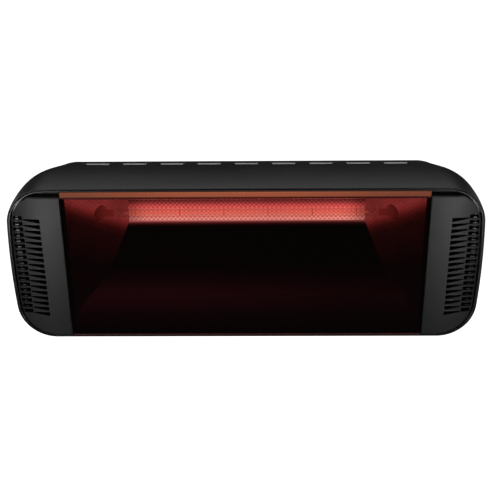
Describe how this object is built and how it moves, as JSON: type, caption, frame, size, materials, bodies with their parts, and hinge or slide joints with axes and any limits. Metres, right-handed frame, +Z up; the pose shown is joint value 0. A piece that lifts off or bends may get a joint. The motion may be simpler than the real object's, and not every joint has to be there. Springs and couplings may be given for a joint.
{
  "type": "halogen heater",
  "caption": "Wall-mounted halogen infrared heater: black housing with louvred end panels, red glass front, lamp and reflector inside, tilting on a wall bracket.",
  "frame": {"origin": "centre of the wall bracket's slotted hole pattern, on the plate's rear face, which lies on the wall", "axes": "+Z up, +Y into the wall, +X to the right seen from the room; the heater looks along -Y"},
  "size_m": [0.5212, 0.203, 0.1842],
  "materials": {
    "shell_black": "satin black fine-texture powder coat",
    "panel_black": "satin moulded heat-resistant plastic",
    "glass_red": "red-tinted glass ceramic, polished",
    "quartz": "clear fused quartz",
    "silicone_brick": "high-temperature silicone, dark red-brown",
    "gasket_black": "silicone sheet",
    "reflector": "bright dimpled anodised sheet",
    "liner": "aluminised sheet, satin",
    "steel_black": "satin black powder coat",
    "zinc": "zinc plated",
    "stainless": "stainless sheet",
    "tungsten": "tungsten coil, glowing in use",
    "steatite": "unglazed steatite",
    "brass": "plain brass",
    "wire_brown": "glass-braid sleeved lead",
    "wire_blue": "glass-braid sleeved lead",
    "wire_earth": "green and yellow insulation",
    "trim_bronze": "bronze-brown heat-resistant lacquer, satin",
    "baffle_black": "black stove enamel, glossy",
    "gland_black": "moulded nylon",
    "fibre": "fibre friction washer"
  },
  "bodies": {
    "bracket": {"wall_bracket": "steel_black", "pivot_bolts": "zinc", "pivot_nuts": "zinc", "pivot_outer_washers": "zinc", "pivot_inner_washers": "zinc", "friction_washers": "fibre"},
    "heater": {"housing_shell": "shell_black", "rear_cover": "steel_black", "tilt_lug_left": "steel_black", "tilt_lug_right": "steel_black", "side_panel_left": "panel_black", "side_panel_right": "panel_black", "front_bezel": "panel_black", "front_glass": "glass_red", "lamp_tube": "quartz", "glass_seal": "silicone_brick", "rear_cover_gasket": "gasket_black", "gland_seal": "gasket_black", "reflector_trough": "reflector", "reflector_end_left": "reflector", "reflector_end_right": "reflector", "heat_shield": "liner", "glass_trim_top": "trim_bronze", "glass_trim_bottom": "trim_bronze", "lower_baffle": "baffle_black", "rear_cover_screws": "zinc", "bezel_brackets": "zinc", "bezel_screws": "zinc", "panel_clips": "zinc", "reflector_rivets": "zinc", "shield_screws": "zinc", "shield_spacers": "zinc", "lamp_holder_screws": "zinc", "lamp_holder_nuts": "zinc", "earth_screw": "zinc", "earth_nuts": "zinc", "terminal_block_screws": "zinc", "lug_screws": "zinc", "lug_nuts": "zinc", "lock_screws": "zinc", "lock_washers": "zinc", "lock_weld_nuts": "zinc", "lamp_holder_left": "stainless", "lamp_holder_right": "stainless", "lamp_filament": "tungsten", "filament_supports": "tungsten", "lamp_cap_left": "steatite", "lamp_cap_right": "steatite", "terminal_block": "steatite", "terminal_clamp_screws": "brass", "earth_ring_terminal": "brass", "live_lead": "wire_brown", "neutral_lead": "wire_blue", "earth_lead": "wire_earth", "gland_body": "gland_black", "gland_cap": "gland_black", "gland_locknut": "gland_black"}
  },
  "joints": [
    {"name": "tilt", "type": "hinge", "parent": "bracket", "child": "heater", "pos_m": [0, -0.052, 0], "axis": [1, 0, 0], "range_deg": [-10, 45]}
  ]
}
